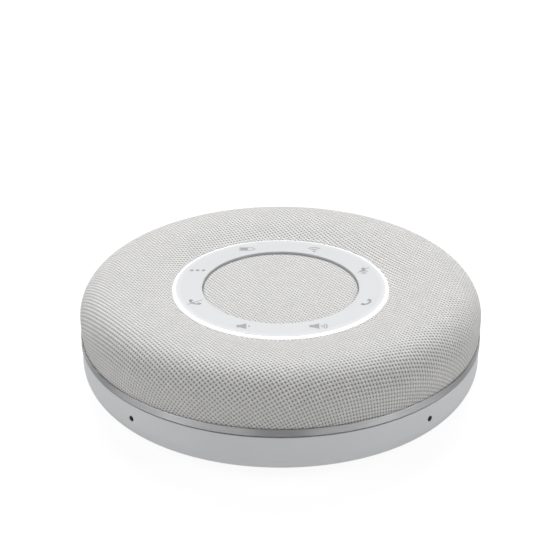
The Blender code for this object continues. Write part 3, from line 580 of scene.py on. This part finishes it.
def stretch_cloth(name, profile, start, wall_stretch, material, per_thread=2):
    """Lay a woven sheet over a turned form, its mesh in step with its threads.

    The profile's points are (radius, height) from the inner edge outwards. A point of the cloth at
    distance start from its centre lies on the profile's first point, and the cloth stretches along
    the wall by wall_stretch. Threads cross at whole numbers of the cloth attribute.
    """
    step = np.hypot(*np.diff(profile, axis=0).T)
    fall = np.abs(np.diff(profile[:, 1])) / np.maximum(step, 1e-9)
    taken = step / (1 + (wall_stretch - 1) * fall)
    reach = start + np.concatenate([[0.0], np.cumsum(taken)])
    slope = np.gradient(profile, axis=0)
    slope /= np.maximum(np.linalg.norm(slope, axis=1, keepdims=True), 1e-9)

    most = int(1.15 * per_thread * reach[-1] / min(WARP_PITCH, WEFT_PITCH)) + 3
    i, j = np.meshgrid(np.arange(-most, most + 1), np.arange(-most, most + 1), indexing="ij")
    a, b = i / per_thread, j / per_thread
    # Threads wander a little from their straight lines, in slow waves.
    drift_a = 0.10 * np.sin(a * 0.11 + 2 * np.sin(b * 0.05)) + 0.07 * np.sin(b * 0.17 + a * 0.03)
    drift_b = 0.10 * np.sin(b * 0.13 + 2 * np.sin(a * 0.06)) + 0.07 * np.sin(a * 0.19)
    rows = [[math.cos(WARP_ANGLE) / WARP_PITCH, math.sin(WARP_ANGLE) / WARP_PITCH],
            [math.cos(WEFT_ANGLE) / WEFT_PITCH, math.sin(WEFT_ANGLE) / WEFT_PITCH]]
    lay = np.linalg.inv(np.array(rows))
    x = lay[0, 0] * (a + drift_a) + lay[0, 1] * (b + drift_b)
    y = lay[1, 0] * (a + drift_a) + lay[1, 1] * (b + drift_b)
    distance = np.hypot(x, y)
    inside = (distance > reach[0]) & (distance < reach[-1])
    held = np.clip(distance, reach[0], reach[-1])
    radius, height = (np.interp(held, reach, profile[:, k]) for k in range(2))
    out_r, out_z = (np.interp(held, reach, slope[:, k]) for k in range(2))
    cos_a, cos_b = np.cos(np.pi * a), np.cos(np.pi * b)
    turn = cos_a * cos_b / 2
    weave = np.maximum(np.abs(cos_a) * (0.5 + turn), WEFT_RISE * np.abs(cos_b) * (0.5 - turn))
    fade = np.clip(np.minimum(held - reach[0], reach[-1] - held) / (2 * WARP_PITCH), 0, 1)
    lift = WEAVE_DEPTH * (weave - 1.0) * np.where(start > 0, fade, 1.0)
    radius = radius - out_z * lift
    height = height + out_r * lift
    flat = np.maximum(distance, 1e-9)
    points = np.stack([radius * x / flat, radius * y / flat, height], axis=-1).reshape(-1, 3)

    index = np.arange(i.size).reshape(i.shape)
    corners = np.stack([index[:-1, :-1], index[1:, :-1], index[1:, 1:], index[:-1, 1:]], -1).reshape(-1, 4)
    kept = corners[inside.reshape(-1)[corners].any(axis=1)]
    used, kept = np.unique(kept, return_inverse=True)
    kept = kept.reshape(-1, 4)
    obj = mesh_object(name, points[used].tolist(), kept.tolist(), material)
    threads = np.stack([a.ravel(), b.ravel(), np.zeros(a.size)], -1)[used]
    attribute = obj.data.attributes.new("cloth", "FLOAT_VECTOR", "POINT")
    attribute.data.foreach_set("vector", threads.astype(np.float32).ravel())
    obj.data.shade_smooth()
    return obj


def make_cloth():
    profile = cover_profile()
    cover = stretch_cloth("woven_cover", profile, float(profile[0, 0]), 1.12, MATERIALS["fabric"])
    stand_for(cover, "fabric_cover")
    disc = stretch_cloth("woven_disc", disc_profile(), 0.0, 1.0, MATERIALS["fabric"])
    stand_for(disc, "fabric_disc")


# ---------------------------------------------------------------- touch ring

def make_ring():
    lap, plate_lift = 0.00015, 0.0003
    outer = RING_OUTER + lap
    plate = LIGHT_BOTTOM + plate_lift
    outline = rounded(
        [(RING_INNER, RING_BOTTOM), (RING_INNER, RING_TOP), (outer, RING_TOP), (outer, plate),
         (RING_SKIRT, plate), (RING_SKIRT, RING_BOTTOM)],
        [0, 0.0003, 0.00008, 0, 0, 0])
    stand_for(turned("touch_ring_shell", outline, MATERIALS["ring_white"]), "touch_ring")

    clearance, bevel_drop = 0.00003, 0.0004
    inner = outer + clearance
    outline = rounded(
        [(inner, LIGHT_BOTTOM), (inner, RING_TOP), (LIGHT_EDGE, RING_TOP - bevel_drop),
         (LIGHT_EDGE, LIGHT_BOTTOM)],
        [0, 0.00006, 0.0002, 0])
    stand_for(turned("light_edge", outline, MATERIALS["light_diffuser"]), "light_ring")


# ---------------------------------------------------------------- touch symbols

def stroke(points, width, closed=False):
    """A flat stroke of even width along a line, as one list of quads."""
    half = width / 2
    count = len(points)
    sides = []
    for i, point in enumerate(points):
        before = points[i - 1] if closed or i > 0 else point
        after = points[(i + 1) % count] if closed or i < count - 1 else point
        along = Vector((after[0] - before[0], after[1] - before[1])).normalized()
        across = Vector((-along.y, along.x)) * half
        x, y = point
        sides.append(((x + across.x, y + across.y), (x - across.x, y - across.y)))
    pairs = list(zip(sides, sides[1:] + sides[:1])) if closed else list(zip(sides, sides[1:]))
    return [[a[0], a[1], b[1], b[0]] for a, b in pairs]


def arc(x, y, radius, start, end, steps=12):
    angles = [math.radians(start + (end - start) * i / steps) for i in range(steps + 1)]
    return [(x + radius * math.cos(a), y + radius * math.sin(a)) for a in angles]


def disc_shape(x, y, radius, steps=20):
    return [arc(x, y, radius, 0, 360 - 360 / steps, steps - 1)]


def box_shape(x0, y0, x1, y1):
    return [[(x0, y0), (x1, y0), (x1, y1), (x0, y1)]]


def battery_symbol():
    case = stroke([(-2.2, -0.9), (1.8, -0.9), (1.8, 0.9), (-2.2, 0.9)], 0.36, closed=True)
    return case + box_shape(-2.0, -0.7, 0.25, 0.7) + box_shape(2.05, -0.45, 2.45, 0.45)


def wireless_symbol():
    shapes = disc_shape(0, -1.5, 0.48)
    for radius in (1.35, 2.5):
        shapes += stroke(arc(0, -1.5, radius, 45, 135), 0.5)
    return shapes


def slash(x0, y0, x1, y1):
    return stroke([(x0, y0), (x1, y1)], 0.3)


def mute_symbol():
    shapes = box_shape(-0.6, -0.2, 0.6, 1.2) + disc_shape(0, 1.2, 0.6) + disc_shape(0, -0.2, 0.6)
    shapes += stroke(arc(0, -0.2, 1.15, 180, 360), 0.3) + box_shape(-0.15, -2.1, 0.15, -1.35)
    return shapes + box_shape(-0.8, -2.2, 0.8, -1.95) + slash(-1.7, -1.5, 1.7, 1.9)


def handset(tilt):
    """A telephone handset: a bow with a pad at each end, turned by an angle."""
    bow = stroke(arc(0, 1.5, 2.3, 222, 318), 0.62)
    pads = [[(x + 0.55 * sx, y + 0.5 * sy) for sx, sy in ((-1, -1), (1, -1), (1, 1), (-1, 1))]
            for x, y in ((-1.55, 0.15), (1.55, 0.15))]
    turn = Matrix.Rotation(math.radians(tilt), 2)
    return [[tuple(turn @ Vector(p)) for p in shape] for shape in bow + pads]


def speaker_shapes():
    horn = [[(-1.1, -0.72), (0.6, -1.62), (0.6, 1.62), (-1.1, 0.72)]]
    return box_shape(-2.1, -0.72, -1.1, 0.72) + horn


def volume_symbol(waves):
    shapes = speaker_shapes()
    for i in range(waves):
        shapes += stroke(arc(0.6, 0, 0.8 + 0.68 * i, -40, 40), 0.36)
    return shapes


def dots_symbol():
    return [shape for x in (-1.7, 0, 1.7) for shape in disc_shape(x, 0, 0.58)]


def make_symbols():
    """Eight flat symbols set into the ring, all upright for someone in front of it."""
    middle = (RING_INNER + RING_OUTER) / 2
    symbols = [
        ("symbol_wireless", wireless_symbol(), 67.5), ("symbol_mute", mute_symbol(), 22.5),
        ("symbol_answer", handset(52), -22.5), ("symbol_louder", volume_symbol(3), -67.5),
        ("symbol_quieter", volume_symbol(1), -112.5),
        ("symbol_hang_up", handset(-40) + slash(-2.1, -1.4, 2.1, 1.4), -157.5),
        ("symbol_more", dots_symbol(), 157.5), ("symbol_battery", battery_symbol(), 112.5)]
    thickness, proud, layer_step, scale = 0.00012, 0.000012, 0.000001, 0.00115
    for name, shapes, angle in symbols:
        cx, cy = middle * math.cos(math.radians(angle)), middle * math.sin(math.radians(angle))
        bm = bmesh.new()
        for layer, shape in enumerate(shapes):
            top = RING_TOP + proud - layer_step * (layer % 3)
            outline = clockwise(shape)[::-1]
            upper = [bm.verts.new((cx + scale * x, cy + scale * y, top)) for x, y in outline]
            lower = [bm.verts.new((v.co.x, v.co.y, RING_TOP - thickness)) for v in upper]
            bm.faces.new(upper)
            bm.faces.new(lower[::-1])
            for k in range(len(upper)):
                n = (k + 1) % len(upper)
                bm.faces.new((lower[k], lower[n], upper[n], upper[k]))
        symbol = from_bmesh(name, bm, SYMBOL_INK)
        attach(symbol, "chassis")


# ---------------------------------------------------------------- trim and base

def make_trim():
    lip, lip_fall, foot_top, foot_inner = 0.06558, 0.0004, TRIM_BOTTOM + 0.0006, 0.0620
    outline = rounded(
        [(lip, foot_top), (lip, TRIM_TOP - lip_fall), (TRIM_RADIUS, TRIM_TOP), (TRIM_RADIUS, TRIM_BOTTOM),
         (foot_inner, TRIM_BOTTOM), (foot_inner, foot_top)],
        [0, 0.00005, 0.00009, 0.00012, 0, 0])
    stand_for(turned("trim_hoop", outline, MATERIALS["trim_metal"]), "trim_ring")

    # A near black ring fills the gap between the base band and the trim: painted shade, a dark sheet where
    # the gap is only in shadow.
    low, high, inner, outer = BASE_TOP - GAP_LINE, TRIM_BOTTOM, 0.0640, 0.06515
    gap = turned("painted_shadow_gap", [(inner, low), (inner, high), (outer, high), (outer, low)], PAINTED_HOLE_SHADE)
    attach(gap, "chassis")


def base_outline():
    """The base band's wall, its curve in to the foot and its inner ledge, as the housing is moulded."""
    wall_inner, ledge_inner, ledge_low, ledge_high = 0.0634, 0.0569, 0.0036, 0.0046
    mouth = COVER_RADIUS + 0.0003
    curve_radius, curve_z, steps = 0.0089, 0.0080, 24
    curve_r = BASE_RADIUS - curve_radius
    sweep = math.asin((curve_z - BASE_BOTTOM) / curve_radius)
    curve = [(curve_r + curve_radius * math.cos(sweep * i / steps),
              curve_z - curve_radius * math.sin(sweep * i / steps)) for i in range(steps + 1)]
    rim = BASE_TOP - GAP_LINE
    points = [(wall_inner, ledge_high), (wall_inner, rim), (BASE_RADIUS, rim)] + curve + [
        (mouth, BASE_BOTTOM), (mouth, ledge_low), (ledge_inner, ledge_low), (ledge_inner, ledge_high)]
    radii = [0, 0, 0.0002] + [0] * (len(curve) - 1) + [0.00015, 0.0002, 0, 0, 0]
    return rounded(points, radii, 6)


def make_base():
    housing = turned("base_band", base_outline(), MATERIALS["base_paint"])
    inside, beyond = 0.0610, 0.0680
    # The cutters' dark materials pass to the walls they cut: painted shade in the microphone holes, the
    # button's bore and the port's opening.
    cutters = [radial_rod(f"mic_cut_{i}", MIC_RADIUS, inside, beyond, a, MIC_HEIGHT, PAINTED_MIC_HOLE_SHADE, 24)
               for i, a in enumerate(CORNER_ANGLES)]
    button_bore = 0.0031
    cutters.append(radial_rod("button_cut", button_bore, inside, beyond, BUTTON_DIRECTION, BUTTON_HEIGHT,
                              PAINTED_HOLE_SHADE, 48))
    # Half a section's width and height, and its corner's radius.
    opening = 0.0064, 0.0032, 0.0030
    liner_outside, liner_inside = (0.0070, 0.0037, 0.0034), (0.0063, 0.0031, 0.0029)
    cutters.append(rounded_bar("port_cut", *opening, inside, beyond, SOCKET_HEIGHT, PAINTED_HOLE_SHADE))
    cut(housing, *cutters)
    stand_for(housing, "base_housing")

    liner_back, liner_front, room_front = SOCKET_HIGH.y + 0.0003, 0.0630, 0.0640
    liner = rounded_bar("port_liner", *liner_outside, liner_back, liner_front, SOCKET_HEIGHT,
                        MATERIALS["black_plastic"])
    floor_at, spare = SOCKET_HIGH.y + 0.0011, 0.0005
    mouth_width, mouth_height = (SOCKET_HIGH.x - SOCKET_LOW.x) / 2, (SOCKET_HIGH.z - SOCKET_LOW.z) / 2
    mouth = mouth_width, mouth_height, mouth_height - 0.0001
    # The walls cut inside the liner take the cutters' near black: painted shade.
    cut(liner,
        rounded_bar("port_room", *liner_inside, floor_at, room_front, SOCKET_HEIGHT, PAINTED_HOLE_SHADE),
        rounded_bar("port_mouth", *mouth, SOCKET_HIGH.y, floor_at + spare, SOCKET_HEIGHT, PAINTED_HOLE_SHADE))
    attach(liner, "chassis")


def make_button():
    """The rear push button, with a fine rounded rim. Its outline runs from its inner end to its face."""
    root, face = 0.0597, 0.06590
    length = face - root
    cap, collar, stem = 0.0028, 0.0036, 0.0012
    collar_top, collar_bottom = length - 0.0029, length - 0.0037
    outline = rounded(
        [(0.0, length), (cap, length), (cap, collar_top), (collar, collar_top),
         (collar, collar_bottom), (stem, collar_bottom), (stem, 0.0), (0.0, 0.0)],
        [0, 0.0005, 0, 0.0002, 0.0002, 0, 0.0002, 0])
    button = turned("power_button_cap", outline, MATERIALS["button_grey"], 64)
    along = Matrix.Rotation(BUTTON_DIRECTION, 4, "Z") @ Matrix.Rotation(math.pi / 2, 4, "Y")
    start = Vector((root * math.cos(BUTTON_DIRECTION), root * math.sin(BUTTON_DIRECTION), BUTTON_HEIGHT))
    button.data.transform(Matrix.Translation(start) @ along)
    stand_for(button, "power_button", "power_key")


def make_underside():
    gap, plate_thickness, label_recess = 0.0003, 0.0021, 0.0005
    groove = FOOT_TOP + gap
    top = BASE_BOTTOM + plate_thickness
    label_floor = BASE_BOTTOM + label_recess
    outline = rounded(
        [(0.0, top), (COVER_RADIUS, top), (COVER_RADIUS, BASE_BOTTOM), (FOOT_RADIUS + gap, BASE_BOTTOM),
         (FOOT_RADIUS + gap, groove), (FOOT_INNER - gap, groove), (FOOT_INNER - gap, BASE_BOTTOM),
         (LABEL_RADIUS + gap, BASE_BOTTOM), (LABEL_RADIUS + gap, label_floor), (0.0, label_floor)],
        [0, 0, 0.0002, 0.0002, 0, 0, 0.0002, 0.0002, 0, 0])
    cover = turned("bottom_plate", outline, MATERIALS["black_plastic"])
    bore, bore_depth = 0.0024, 0.002
    cutters = []
    # The counterbores' walls take the cutters' near black: painted shade.
    for i, angle in enumerate(CORNER_ANGLES):
        bm = bmesh.new()
        place = (SCREW_CIRCLE * math.cos(angle), SCREW_CIRCLE * math.sin(angle), BASE_BOTTOM)
        bmesh.ops.create_cone(bm, cap_ends=True, segments=48, radius1=bore, radius2=bore,
                              depth=bore_depth, matrix=Matrix.Translation(place))
        cutters.append(from_bmesh(f"counterbore_{i}", bm, PAINTED_HOLE_SHADE))
    cut(cover, *cutters)
    stand_for(cover, "bottom_cover")

    foot = turned("rubber_foot", rounded(
        [(FOOT_INNER, FOOT_TOP), (FOOT_INNER, 0.0), (FOOT_RADIUS, 0.0), (FOOT_RADIUS, FOOT_TOP)],
        [0, 0.0004, 0.0004, 0]), MATERIALS["rubber"])
    stand_for(foot, "foot_ring")
    bottom, top = (corner.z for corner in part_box("rating_label"))
    label = turned("blank_label", rounded(
        [(0.0, top), (LABEL_RADIUS, top), (LABEL_RADIUS, bottom), (0.0, bottom)],
        [0, 0, 0.00008, 0]), MATERIALS["label_film"])
    stand_for(label, "rating_label")


def make_screws():
    """Pan-head screws with cross recesses, heads down, in the cover's counterbores."""
    head, rim, shank = 0.0007, 0.0021, 0.0012
    bit_length, bit_width, bit_depth, bit_turn = 0.0024, 0.0005, 0.0009, 0.4
    for i, angle in enumerate(CORNER_ANGLES[2:] + CORNER_ANGLES[:2]):
        low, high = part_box(f"base_screw_{i + 1}")
        outline = rounded(
            [(0.0, low.z), (rim, low.z), (rim, low.z + head), (shank, low.z + head), (shank, high.z),
             (0.0, high.z)], [0, 0.00045, 0, 0, 0.0003, 0], 6)
        screw = turned(f"cover_screw_{i + 1}", outline, MATERIALS["steel"], 48)
        cutters = []
        # The cross recesses' walls take the cutters' near black: painted shade.
        for k in range(2):
            bm = bmesh.new()
            turn = Matrix.Rotation(math.pi / 2 * k + bit_turn * i, 4, "Z")
            size = Matrix.Diagonal((bit_length, bit_width, bit_depth, 1))
            bmesh.ops.create_cube(bm, size=1.0, matrix=Matrix.Translation((0, 0, low.z)) @ turn @ size)
            cutters.append(from_bmesh(f"bit_{i}_{k}", bm, PAINTED_HOLE_SHADE))
        cut(screw, *cutters)
        screw.location = (SCREW_CIRCLE * math.cos(angle), SCREW_CIRCLE * math.sin(angle), 0.0)
        stand_for(screw, f"base_screw_{i + 1}")


# ---------------------------------------------------------------- flexing rings inside

def flowing(line, steps=6):
    """A smooth curve through a line's points, which stays between their lowest and highest."""
    points = np.array([line[0]] + list(line) + [line[-1]])
    flow = []
    for a, b, c, d in zip(points, points[1:], points[2:], points[3:]):
        for i in range(steps):
            t = i / steps
            flow.append(b + (c - a) * t / 2 + (2 * a - 5 * b + 4 * c - d) * t ** 2 / 2
                        + (3 * b - a - 3 * c + d) * t ** 3 / 2)
    flow.append(points[-1])
    flow = np.array(flow)
    flow[:, 1] = np.clip(flow[:, 1], points[:, 1].min(), points[:, 1].max())
    return [tuple(p) for p in flow]


def make_flexing_ring(node, slot, line, thickness, x=0.0):
    """A ring of thin sheet, turned from a smooth curve through a line's points, in a CAD node's place."""
    half, hold, steps = thickness / 2, 0.00025, 96
    path = flowing(line)
    outline = [(r, z + half) for r, z in path] + [(r, z - half) for r, z in path[::-1]]
    ring = turned(f"{node}_sheet", outline, MATERIALS[slot], steps)
    ring.data.transform(Matrix.Translation((x, 0, 0)))
    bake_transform(ring)
    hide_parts(node)


def make_flexing_rings():
    thick, thin = 0.0003, 0.00025
    surround = [(0.0224, 0.02425), (0.0206, 0.02425), (0.0195, 0.0238), (0.0184, 0.0222), (0.0170, 0.0221)]
    make_flexing_ring("cone_surround", "rubber", surround, thick)
    waves, depth, steps = 4, 0.00008, 32
    outer, inner = (0.0179, 0.0189), (0.0099, 0.0170)
    spider = [(outer[0] + (inner[0] - outer[0]) * t,
               outer[1] + (inner[1] - outer[1]) * t + depth * math.sin(math.tau * waves * t))
              for t in (i / steps for i in range(steps + 1))]
    make_flexing_ring("spider", "spider_cloth", spider, thin)
    ring = [(0.0130, 0.02235), (0.0108, 0.02235), (0.0100, 0.0214), (0.0094, 0.0202), (0.0078, 0.0201)]
    for side in ("left", "right"):
        low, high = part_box(f"radiator_plate_{side}")
        make_flexing_ring(f"radiator_surround_{side}", "rubber", ring, thick,
                          (low.x + high.x) / 2)


# ---------------------------------------------------------------- the rest of the CAD

def finish_cad_nodes():
    """Give every carried-over CAD node the procedural finish of its slot."""
    slots = {row["node"]: row["material_slot"] for row in frame["record"]["subparts"]}
    for name, node in frame["nodes"].items():
        node.data.materials.clear()
        node.data.materials.append(MATERIALS[slots[name]])


# ---------------------------------------------------------------- stage, light and camera

def make_stage():
    """A pale floor under a pale room; both show near white and light the object softly."""
    s = Shader("pale_floor", 0.9)
    s.set(Base_Color=s.mix(s.noise(s.place(), 3.0), (0.15, 0.15, 0.15), (0.16, 0.16, 0.16)))
    seen = s.add("ShaderNodeLightPath").outputs["Is Camera Ray"]
    glow = s.remap(seen, 0.0, 1.0, FLOOR_GLOW, FLOOR_SHOWN)
    s.set(Emission_Color=(1.0, 1.0, 1.0), Emission_Strength=glow)
    reach = 4
    corners = [(-reach, -reach, 0), (reach, -reach, 0), (reach, reach, 0), (-reach, reach, 0)]
    floor = mesh_object("floor", corners, [[0, 1, 2, 3]], s.material)
    world = bpy.data.worlds.new("studio")
    world.use_nodes = True
    tree = world.node_tree
    background = tree.nodes["Background"]
    path = tree.nodes.new("ShaderNodeLightPath")
    level = tree.nodes.new("ShaderNodeMapRange")
    level.inputs["To Min"].default_value = ROOM_LIGHT
    tree.links.new(path.outputs["Is Camera Ray"], level.inputs["Value"])
    tree.links.new(level.outputs[0], background.inputs["Strength"])
    background.inputs["Color"].default_value = (1.0, 1.0, 1.0, 1.0)
    bpy.context.scene.world = world


def add_panel(name, place, width, height, power):
    light = bpy.data.lights.new(name, "AREA")
    light.shape = "RECTANGLE"
    light.size, light.size_y, light.energy = width, height, power
    panel = bpy.data.objects.new(name, light)
    panel.location = place
    panel.rotation_euler = (Vector(LIGHT_AIM) - Vector(place)).to_track_quat("-Z", "Y").to_euler()
    bpy.context.scene.collection.objects.link(panel)


def make_lights():
    for row in LIGHTS:
        add_panel(*row)


def make_camera():
    """The view from the front, 27 degrees above the table."""
    aim, distance, elevation = Vector((-0.0002, 0.0, 0.0337)), 0.5886, math.radians(26.94)
    data = bpy.data.cameras.new("camera")
    data.lens, data.sensor_width = 115.3, 36.0
    camera = bpy.data.objects.new("camera", data)
    back = Vector((0.0, -math.cos(elevation), math.sin(elevation)))
    camera.location = aim + back * distance
    camera.rotation_euler = (-back).to_track_quat("-Z", "Y").to_euler()
    bpy.context.scene.collection.objects.link(camera)
    bpy.context.scene.camera = camera


bpy.context.scene.view_settings.view_transform = "Standard"
make_camera()
make_stage()
make_lights()
make_cloth()
make_ring()
make_symbols()
make_trim()
make_base()
make_button()
make_underside()
make_screws()
make_flexing_rings()
finish_cad_nodes()
